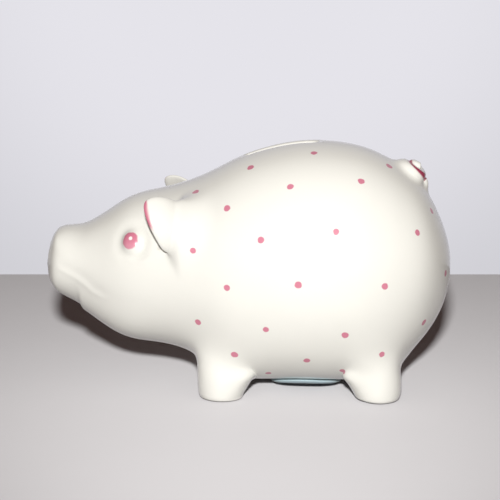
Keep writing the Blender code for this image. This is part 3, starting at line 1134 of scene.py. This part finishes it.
def run_tree(made: Object, name: str, tree: NodeTree, values: dict) -> None:
    """Run a Geometry Nodes tree over an object's mesh and keep the result.

    Args:
        made: the object, whose mesh is replaced.
        name: the modifier's name.
        tree: the node tree.
        values: the value of each of its inputs, by name.
    """
    modifier = made.modifiers.new(name, "NODES")
    modifier.node_group = tree
    for item in tree.interface.items_tree:
        if item.item_type == "SOCKET" and item.in_out == "INPUT" and item.name in values:
            modifier[item.identifier] = values[item.name]
    settle(made)


# --- painted spots


@dataclass(frozen=True)
class SpotRow:
    """One row of spots along a flank.

    first_x_mm, pitch_mm and count place it along the trunk, spread_mm being how much each gap is
    wider than the one before; angle is its height round the trunk in degrees above the widest
    line, climb what each further spot adds to it, and bow how much that step grows.
    """

    first_x_mm: float
    pitch_mm: float
    count: int
    angle: float
    climb: float = 0.0
    spread_mm: float = 3.0
    bow: float = 0.0


@dataclass
class SpotPainting:
    """The rows of small pink spots, staggered over both flanks."""

    rows: tuple = (
        SpotRow(-21.0, 23.5, 4, 62.0, 5.1, 3.9, -0.4),
        SpotRow(-6.5, 26.3, 4, 43.5, 5.6, 3.9, 1.4),
        SpotRow(-19.5, 28.7, 4, 16.6, 5.6, 2.6, 0.0),
        SpotRow(-5.3, 29.4, 4, -3.5, 2.2, 7.6, -3.0),
        SpotRow(-18.6, 30.2, 4, -31.0, 4.8, 2.6, -8.8),
        SpotRow(-3.3, 31.6, 3, -45.5, -2.2, 0.3, 4.3),
        SpotRow(11.6, 32.0, 2, -61.0, 4.2),
    )
    axis_height_mm: float = 56.5
    rump_from_mm: float = 66.0
    rump_span_mm: float = 21.0
    far_shift_mm: float = 15.0
    wander_mm: float = 0.7
    seed: int = 11
    shared = ("Axis Height", "Rump From", "Rump Span", "Wander")

    def _row_tree(self) -> NodeTree:
        """Build the node group that lays one row of guide points on the skin."""
        floats = ("First", "Pitch", "Spread", "Angle", "Climb", "Bow", "Side") + self.shared
        inputs = {"Geometry": ("Skin",), "Int": ("Count", "Seed"), "Float": floats}
        outputs = {"Geometry": ("Points",)}
        tree, bench, given = new_group("spot_row", "GeometryNodeTree", inputs, outputs)
        cloud = bench.first("GeometryNodePoints", {"Count": given["Count"]})
        index = bench.first("GeometryNodeInputIndex")
        sockets = {0: (-1.0, -1.0, -1.0), 1: (1.0, 1.0, 1.0), "Seed": given["Seed"]}
        stray = bench.first("FunctionNodeRandomValue", sockets, data_type="FLOAT_VECTOR")
        shifts = bench.split(bench.scaled(stray, given["Wander"]))

        along = bench.math("MULTIPLY_ADD", index, given["Pitch"], given["First"])
        previous = bench.math("SUBTRACT", index, 1.0)
        pairs = bench.math("MULTIPLY", bench.math("MULTIPLY", index, previous), 0.5)
        along = bench.math("MULTIPLY_ADD", pairs, given["Spread"], along)
        over = bench.math("SUBTRACT", along, given["Rump From"])
        over = bench.math("MAXIMUM", bench.math("DIVIDE", over, given["Rump Span"]), 0.0)
        bent = bench.math("MULTIPLY", bench.math("TANH", over), given["Rump Span"])
        along = bench.math("ADD", bench.math("MINIMUM", along, given["Rump From"]), bent)
        along = bench.math("ADD", along, shifts["X"])

        angle = bench.math("MULTIPLY_ADD", index, given["Climb"], given["Angle"])
        angle = bench.math("MULTIPLY_ADD", pairs, given["Bow"], angle)
        angle = bench.math("RADIANS", angle)
        outward_y = bench.math("MULTIPLY", bench.math("COSINE", angle), given["Side"])
        outward = bench.xyz(y=outward_y, z=bench.math("SINE", angle))
        lifted = bench.math("ADD", given["Axis Height"], shifts["Z"])
        axis = bench.xyz(along, shifts["Y"], lifted)
        source = bench.vector("ADD", axis, bench.scaled(outward, 0.2))
        sockets = {
            "Target Geometry": given["Skin"],
            "Source Position": source,
            "Ray Direction": bench.scaled(outward, -1.0),
            "Ray Length": 0.3,
        }
        hit = bench.add("GeometryNodeRaycast", sockets).outputs["Hit Position"]
        laid = bench.first("GeometryNodeSetPosition", {"Geometry": cloud, "Position": hit})
        bench.add("NodeGroupOutput", {0: laid})
        return tree

    def _tree(self, material: Material) -> NodeTree:
        """Build the tree that gives every point of the skin its nearest spot."""
        floats = self.shared + ("Far Shift",)
        inputs = {"Geometry": ("Geometry",), "Float": floats, "Int": ("Seed",)}
        outputs = {"Geometry": ("Geometry",)}
        tree, bench, given = new_group("spot_painting", "GeometryNodeTree", inputs, outputs)
        row_tree = self._row_tree()
        guides = bench.add("GeometryNodeJoinGeometry")
        far, seed = given["Far Shift"], given["Seed"]
        for number, row in enumerate(self.rows):
            for side in Side:
                right = side is Side.RIGHT
                sockets = {name: given[name] for name in self.shared}
                sockets |= {
                    "Skin": given["Geometry"],
                    "Seed": bench.math("ADD", seed, float(number * 2 + right)),
                    "First": bench.math("MULTIPLY_ADD", far, float(right), row.first_x_mm * MM),
                    "Count": max(1, row.count - right),
                    "Pitch": row.pitch_mm * MM,
                    "Spread": row.spread_mm * MM,
                    "Angle": row.angle,
                    "Climb": row.climb,
                    "Bow": row.bow,
                    "Side": side.value,
                }
                laid = bench.first("GeometryNodeGroup", sockets, node_tree=row_tree)
                bench.feed(guides, {0: laid})
        spots = guides.outputs[0]
        position = bench.first("GeometryNodeInputPosition")
        nearest = bench.first("GeometryNodeSampleNearest", {"Geometry": spots})
        sockets = {"Geometry": spots, "Value": position, "Index": nearest}
        centre = bench.first("GeometryNodeSampleIndex", sockets, data_type="FLOAT_VECTOR")
        reach = bench.vector("DISTANCE", position, centre)
        sockets = {2: 0.90, 3: 1.10, "ID": nearest, "Seed": seed}
        size = bench.add("FunctionNodeRandomValue", sockets, data_type="FLOAT").outputs[1]
        geometry = given["Geometry"]
        layers = (
            ("spot_centre", "FLOAT_VECTOR", centre),
            ("spot_reach", "FLOAT", reach),
            ("spot_size", "FLOAT", size),
        )
        for name, kind, value in layers:
            sockets = {"Geometry": geometry, "Name": name, "Value": value}
            geometry = bench.first("GeometryNodeStoreNamedAttribute", sockets, data_type=kind)
        real = bench.first("GeometryNodeRealizeInstances", {0: geometry})
        sockets = {"Geometry": real, "Material": material}
        bench.add("NodeGroupOutput", {0: bench.first("GeometryNodeSetMaterial", sockets)})
        return tree

    def paint(self, skin: Object, material: Material) -> None:
        """Give a skin its spots and its finish; its mesh is replaced."""
        values = {
            "Axis Height": self.axis_height_mm * MM,
            "Rump From": self.rump_from_mm * MM,
            "Rump Span": self.rump_span_mm * MM,
            "Far Shift": self.far_shift_mm * MM,
            "Wander": self.wander_mm * MM,
            "Seed": self.seed,
        }
        run_tree(skin, "Spots", self._tree(material), values)


# --- the pieces


@dataclass
class GlazedPig:
    """The hollow casting with its luted ears and tail, all under one glaze."""

    wall_mm: float = 4.0
    outer_levels: int = 4
    inner_levels: int = 2
    slot: UprightBore = UprightBore(15.0 * MM, 13.0 * MM, 2.5 * MM, 92.0 * MM, 118.0 * MM)
    hole: UprightBore = UprightBore(26.5 * MM, 0.0, 13.0 * MM, -2.0 * MM, 18.0 * MM)
    ear_seam_mm: float = 1.5
    ear_back_seam_mm: float = 12.0
    ear_soft_x_mm: tuple = (-32.6, -25.5)
    tail_seam_mm: float = 6.5
    slot_lip_mm: float = 2.4
    hole_lip_mm: float = 1.2
    cutter_spacing_mm: float = 0.8
    sponge_passes: int = 9
    cage: PigCage = field(default_factory=PigCage)
    face: FaceModelling = field(default_factory=FaceModelling)
    ears: tuple = (Ear(Side.LEFT), Ear(Side.RIGHT))
    tail: CurledTail = field(default_factory=CurledTail)
    spots: SpotPainting = field(default_factory=SpotPainting)
    blades: list[Form] = field(default_factory=list)
    outer: Form | None = None
    skin: Object | None = None

    def build(self) -> Object:
        """Build the hollow skin with rounded seams.

        Returns:
            The skin, a closed solid without its finish.
        """
        skin = self.cage.build("glazed_pig", 0.0, self.outer_levels)
        self.face.sculpt(skin)
        self.outer = Form.of(skin)
        seams = []
        soft = (self.ear_back_seam_mm * MM, *(x * MM for x in self.ear_soft_x_mm))
        for ear in self.ears:
            blade = ear.build()
            form = Form.of(blade)
            self.blades.append(form)
            seams.append(Seam(self.outer, form, Joining.LUTED, self.ear_seam_mm * MM, *soft))
            combine(skin, blade, "UNION")
        curl = self.tail.build()
        seams.append(Seam(self.outer, Form.of(curl), Joining.LUTED, self.tail_seam_mm * MM))
        combine(skin, curl, "UNION")
        cavity = self.cage.build("cavity", -self.wall_mm, self.inner_levels)
        inner = Form.of(cavity)
        combine(skin, cavity, "DIFFERENCE")
        for bore, lip_mm in ((self.slot, self.slot_lip_mm), (self.hole, self.hole_lip_mm)):
            combine(skin, bore.cutter(self.cutter_spacing_mm * MM), "DIFFERENCE")
            seams.append(Seam(self.outer, bore, Joining.CUT, lip_mm * MM))
        self._tidy(skin)
        points = read_points(skin.data)
        edges = read_edges(skin.data)
        for seam in seams:
            points = seam.sponge(points, edges, self.sponge_passes)
        write_points(skin.data, points)
        skin.data.shade_smooth()
        self._mark(skin, inner)
        self.skin = skin
        return skin

    @staticmethod
    def _tidy(skin: Object) -> None:
        """Merge the slivers that the joins leave."""
        bm = bmesh.new()
        bm.from_mesh(skin.data)
        bmesh.ops.remove_doubles(bm, verts=bm.verts, dist=0.03 * MM)
        bmesh.ops.dissolve_degenerate(bm, edges=bm.edges, dist=0.02 * MM)
        bmesh.ops.triangulate(bm, faces=[face for face in bm.faces if len(face.verts) > 4])
        bm.to_mesh(skin.data)
        bm.free()

    def _mark(self, skin: Object, inner: Form) -> None:
        """Store where the skin is painted, where glaze pools with painted shade and where the clay
        is bare.
        """
        mesh = skin.data
        points = read_points(mesh)
        depth, _ = inner.measure(points)
        edges = read_edges(mesh)
        # how hollow each point lies; hollows get the pooled-glaze tint, which is partly painted
        # shade
        hollow = neighbour_means(edges, points) - points
        for _ in range(6):
            hollow = neighbour_means(edges, hollow)
        normals = read_rows(mesh.vertex_normals, "vector")
        facing = np.einsum("ij,ij->i", hollow, normals) / MM
        painted = [ear.paint(points) for ear in self.ears]
        shaded = [ear.shade(points, blade) for ear, blade in zip(self.ears, self.blades)]
        values = {
            "ear_paint": np.maximum(*painted),
            "ear_shade": np.maximum(*shaded),
            "tail_paint": self.tail.paint(points),
            "inside": 1.0 - smooth_step(depth / MM, 0.6, 1.6),
            "pool_and_shade": smooth_step(facing, 0.004, 0.05),
        }
        for name, value in values.items():
            write_value(mesh, name, value)

    def dress(self, shop: Workshop) -> Object:
        """Paint and glaze the skin and set it in the frame."""
        self.spots.paint(self.skin, PaintedGlaze().build(shop))
        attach(self.skin, "bank")
        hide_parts("body_shell", "ear_left", "ear_right", "tail")
        return self.skin


@dataclass
class BellyStopper:
    """The soft plug: a thin flange outside the belly, a hollow plug and a finger bar."""

    centre_x_mm: float = 26.5
    flange_radius_mm: float = 16.1
    plug_radius_mm: float = 12.7
    grip_radius_mm: float = 9.0
    grip_roof_mm: float = 10.0
    plug_top_mm: float = 13.0
    gap_mm: float = 0.3
    flange_mm: float = 1.6
    bar_half_mm: float = 1.9
    spokes: int = 96
    piece: Object | None = None

    def _belly(self, belly: Form, x: float, y: float) -> float:
        """Return the height of the belly's skin over a point, as if it had no hole."""
        hit, _, _, _ = belly.tree.ray_cast(Vector((x, y, -0.05)), Vector((0.0, 0.0, 1.0)))
        return hit.z

    def _profile(self) -> list[tuple[float, float, float]]:
        """Return the turned profile as radius, height and how far it follows the belly.

        Heights that follow the belly are measured from its skin; the others from the table.
        """
        flange, plug, grip = self.flange_radius_mm, self.plug_radius_mm, self.grip_radius_mm
        low, high = -self.gap_mm - self.flange_mm, -self.gap_mm
        roof, top = self.grip_roof_mm, self.plug_top_mm
        rows = [(0.0, roof, 0.0), (grip * 0.45, roof, 0.0), (grip * 0.8, roof, 0.0)]
        rows += [(grip - 0.8, roof - 0.1, 0.0), (grip - 0.2, roof - 0.8, 0.0)]
        rows += [(grip, roof - 2.0, 0.0), (grip, 6.0, 0.0), (grip, low + 0.9, 1.0)]
        rows += [(grip + 0.25, low + 0.25, 1.0), (grip + 0.9, low, 1.0)]
        rows += [(plug, low, 1.0), (flange - 1.2, low + 0.05, 1.0), (flange - 0.4, low + 0.3, 1.0)]
        rows += [(flange, low + 0.8, 1.0), (flange - 0.35, high - 0.2, 1.0)]
        rows += [(flange - 1.0, high, 1.0), (plug + 0.4, high, 1.0), (plug, high + 0.4, 1.0)]
        rows += [(plug, 7.0, 0.0), (plug - 0.25, 8.4, 0.0), (plug, 9.8, 0.0)]
        rows += [(plug - 0.1, top - 1.0, 0.0), (plug - 0.7, top - 0.2, 0.0)]
        rows += [(plug - 1.6, top, 0.0), (grip * 0.5, top, 0.0), (0.0, top, 0.0)]
        return rows

    def _turned(self, belly: Form) -> Object:
        """Turn the plug and its flange as one closed solid."""
        bm = bmesh.new()
        rings = []
        for radius, height, follows in self._profile():
            spokes = self.spokes if radius > 0.0 else 1
            ring = []
            for spoke in range(spokes):
                angle = 2.0 * math.pi * spoke / self.spokes
                x = (self.centre_x_mm + radius * math.cos(angle)) * MM
                y = radius * math.sin(angle) * MM
                base = self._belly(belly, x, y) if follows else 0.0
                ring.append(bm.verts.new((x, y, base + height * MM)))
            rings.append(ring)
        for lower, upper in zip(rings[1:], rings[2:-1]):
            bridge(bm, lower, upper)
        for spoke in range(self.spokes):
            after = (spoke + 1) % self.spokes
            bm.faces.new((rings[0][0], rings[1][spoke], rings[1][after]))
            bm.faces.new((rings[-2][spoke], rings[-2][after], rings[-1][0]))
        return object_from_bmesh(bm, "belly_plug")

    def _bar(self, belly: Form) -> Object:
        """Build the finger bar that spans the recess."""
        bm = bmesh.new()
        rounding = ((-1.0, 0.35), (-0.8, 0.1), (-0.4, 0.0), (0.4, 0.0), (0.8, 0.1), (1.0, 0.35))
        half = self.bar_half_mm
        stations = [self.grip_radius_mm * 1.12 * share / 8.0 for share in range(-8, 9)]
        rows = []
        for station in stations:
            y = station * MM
            base = self._belly(belly, self.centre_x_mm * MM, y) / MM
            low = base - self.gap_mm - self.flange_mm
            row = []
            for share, lift in rounding:
                x = (self.centre_x_mm + half * share) * MM
                row.append(bm.verts.new((x, y, (low + 0.1 + lift * 1.8) * MM)))
            for share in (1.0, -1.0):
                x = (self.centre_x_mm + half * share * 1.05) * MM
                row.append(bm.verts.new((x, y, (self.grip_roof_mm + 1.0) * MM)))
            rows.append(row)
        for first, second in zip(rows, rows[1:]):
            bridge(bm, first, second)
        bm.faces.new(rows[0])
        bm.faces.new(rows[-1])
        return object_from_bmesh(bm, "finger_bar")

    def build(self, belly: Form) -> Object:
        """Build the stopper under the belly's skin.

        Args:
            belly: the casting's outer form, before its hole is cut.

        Returns:
            The stopper as one closed piece.
        """
        piece = self._turned(belly)
        combine(piece, self._bar(belly), "UNION")
        piece.data.shade_smooth()
        piece.data.set_sharp_from_angle(angle=math.radians(50.0))
        self.piece = piece
        return piece

    def dress(self, shop: Workshop) -> Object:
        """Give the stopper its plastic and set it in the frame."""
        self.piece.data.materials.clear()
        self.piece.data.materials.append(SoftPlastic().build(shop))
        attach(self.piece, "stopper")
        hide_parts("belly_stopper")
        return self.piece


# --- studio


@dataclass
class Studio:
    """The pale table top, the key light, the room's glow and the camera."""

    azimuth: float = math.radians(4.5)
    elevation: float = math.radians(11.5)
    distance: float = 0.700
    lens_mm: float = 114.0
    aim: tuple[float, float, float] = (0.0011, 0.0, 0.061)
    table_back: float = 0.229
    table_front: float = 0.95
    table_half_width: float = 1.0
    table_thick: float = 0.03
    key_azimuth: float = math.radians(3.8)
    key_elevation: float = math.radians(19.2)
    key_distance: float = 0.80
    key_radius: float = 0.022
    key_cone: float = math.radians(44.0)
    key_aim: tuple[float, float, float] = (0.0, 0.16, 0.055)
    key_power: float = 30.0
    wall_colour: Colour = rgb(0.785, 0.775, 0.825)
    # painted falloff of light: the wall's darker colour towards the edges of view
    painted_wall_falloff: Colour = rgb(0.63, 0.625, 0.665)
    wall_glow: Colour = rgb(0.10, 0.062, 0.050)
    room_glow: Colour = rgb(0.055, 0.031, 0.025)
    glow_span: tuple[float, float] = (0.90, 0.45)
    wall_falloff_span: tuple[float, float] = (0.995, 0.962)

    def _away(self, azimuth: float, elevation: float) -> Vector:
        """Return the direction from the pig towards a place round it."""
        level = math.cos(elevation)
        return Vector((math.sin(azimuth) * level, -math.cos(azimuth) * level, math.sin(elevation)))

    @staticmethod
    def _hang(data: object, place: Vector, line: Vector) -> Object:
        """Set up a camera or a light at a place, looking along a line."""
        made = bpy.data.objects.new(data.name, data)
        made.location = place
        made.rotation_euler = line.to_track_quat("-Z", "Y").to_euler()
        bpy.context.scene.collection.objects.link(made)
        return made

    def camera(self) -> None:
        """Place the camera and make it the scene's own."""
        data = bpy.data.cameras.new("camera")
        data.lens = self.lens_mm
        data.sensor_width = 36.0
        data.clip_start = 0.01
        away = self._away(self.azimuth, self.elevation)
        place = Vector(self.aim) + away * self.distance
        bpy.context.scene.camera = self._hang(data, place, -away)

    def table(self, shop: Workshop) -> None:
        """Build the table top, squared to the camera."""
        right = Vector((math.cos(self.azimuth), math.sin(self.azimuth), 0.0))
        back = Vector((-math.sin(self.azimuth), math.cos(self.azimuth), 0.0))
        bm = bmesh.new()
        bmesh.ops.create_cube(bm, size=1.0)
        depth = self.table_back + self.table_front
        for vertex in bm.verts:
            x = vertex.co.x * 2.0 * self.table_half_width
            y = vertex.co.y * depth + (self.table_back - self.table_front) / 2.0
            z = (vertex.co.z - 0.5) * self.table_thick
            vertex.co = right * x + back * y + Vector((0.0, 0.0, z))
        edges = list(bm.edges)
        bmesh.ops.bevel(bm, geom=edges, offset=0.0015, segments=4, profile=0.5, affect="EDGES")
        table = object_from_bmesh(bm, "table_top")
        table.data.set_sharp_from_angle(angle=math.radians(30.0))
        table.data.materials.append(TableLacquer().build(shop))

    def light(self) -> None:
        """Hang the one key light, a small spot near the camera."""
        data = bpy.data.lights.new("key_light", "SPOT")
        data.shadow_soft_size = self.key_radius
        data.spot_size = self.key_cone
        data.spot_blend = 1.0
        data.energy = self.key_power
        data.color = (1.0, 0.995, 0.975)
        away = self._away(self.key_azimuth, self.key_elevation)
        place = Vector(self.aim) + away * self.key_distance
        self._hang(data, place, Vector(self.key_aim) - place)

    def room(self) -> None:
        """Surround the table with a pale wall that is seen plainly, painted darker towards its
        edges as falling light, and a dim reddish glow.
        """
        world = bpy.data.worlds.new("studio_room")
        bpy.context.scene.world = world
        world.use_nodes = True
        bench = Bench(world.node_tree)
        direction = bench.add("ShaderNodeTexCoord").outputs["Generated"]
        back = Vector((-math.sin(self.azimuth), math.cos(self.azimuth), 0.0))
        facing = bench.vector("DOT_PRODUCT", direction, back)
        share = bench.fade(facing, *self.glow_span)
        glow = bench.mix(share, self.room_glow, self.wall_glow)
        # painted falloff of light: the wall is brighter straight behind the pig and darker towards
        # the edges of view
        wall = bench.mix(bench.fade(facing, *self.wall_falloff_span), self.painted_wall_falloff, self.wall_colour)
        path = bench.add("ShaderNodeLightPath").outputs
        mirrored = bench.math("MULTIPLY", path["Is Glossy Ray"], share)
        colour = bench.mix(mirrored, glow, wall)
        colour = bench.mix(path["Is Camera Ray"], colour, wall)
        bench.feed(world.node_tree.nodes["Background"], {"Color": colour})

    def set_up(self, shop: Workshop) -> None:
        """Build the whole studio."""
        self.camera()
        self.table(shop)
        self.light()
        self.room()
        view = bpy.context.scene.view_settings
        view.view_transform = "Standard"
        view.look = "None"


def main() -> None:
    """Build the bank piece by piece and light it."""
    logging.basicConfig(level=logging.INFO, format="%(name)s: %(message)s")
    shop = Workshop()
    Studio().set_up(shop)
    pig = GlazedPig()
    pig.build()
    stopper = BellyStopper()
    stopper.build(pig.outer)
    for piece in (pig.dress(shop), stopper.dress(shop)):
        LOG.info("%s: %d faces", piece.name, len(piece.data.polygons))


if __name__ == "__main__":
    main()
